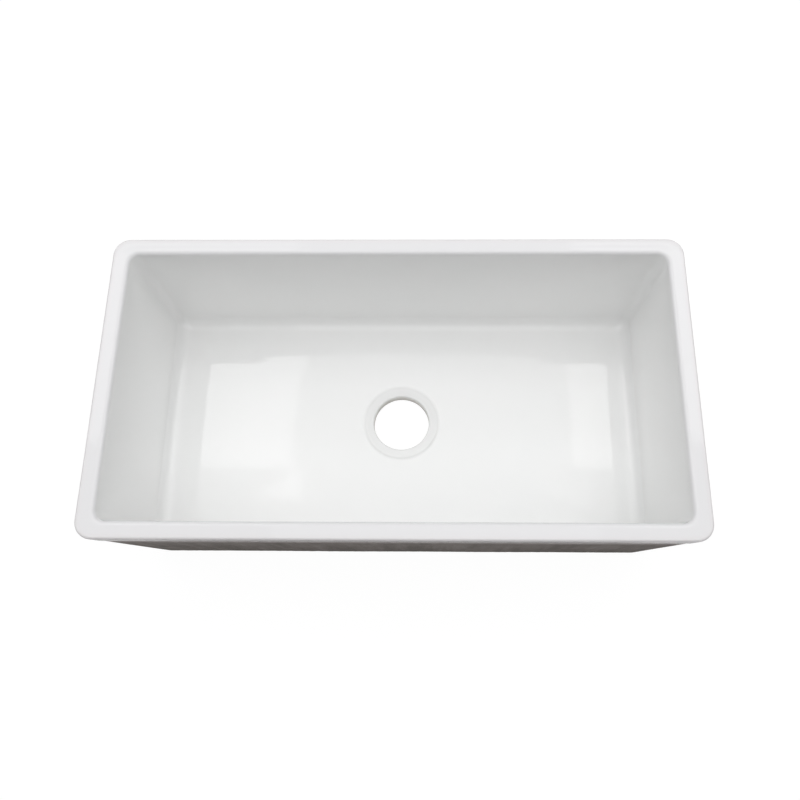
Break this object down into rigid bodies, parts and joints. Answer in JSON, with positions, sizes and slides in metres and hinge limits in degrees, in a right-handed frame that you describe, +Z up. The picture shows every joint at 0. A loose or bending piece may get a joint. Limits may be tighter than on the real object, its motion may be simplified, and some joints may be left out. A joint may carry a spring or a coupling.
{
  "type": "undermount kitchen sink",
  "caption": "Single-bowl undermount fireclay kitchen sink: rounded rectangular basin, flat glazed rim, raw clay outside and a round waste hole in a shallow recess.",
  "frame": {"origin": "middle of the base's underside, on the surface that the sink stands on", "axes": "+Z up out of the basin, +X to the right along the long side, front wall towards -Y"},
  "size_m": [0.838, 0.442, 0.254],
  "materials": {
    "raw_fireclay": "unglazed and gritty, with faint upright tool marks",
    "engobe": "thin matt slip with a faint pink tone",
    "white_glaze": "white and glossy, slightly wavy"
  },
  "bodies": {
    "root": {"fireclay_body": "raw_fireclay", "engobe_coat": "engobe", "glaze_coat": "white_glaze"}
  },
  "joints": []
}
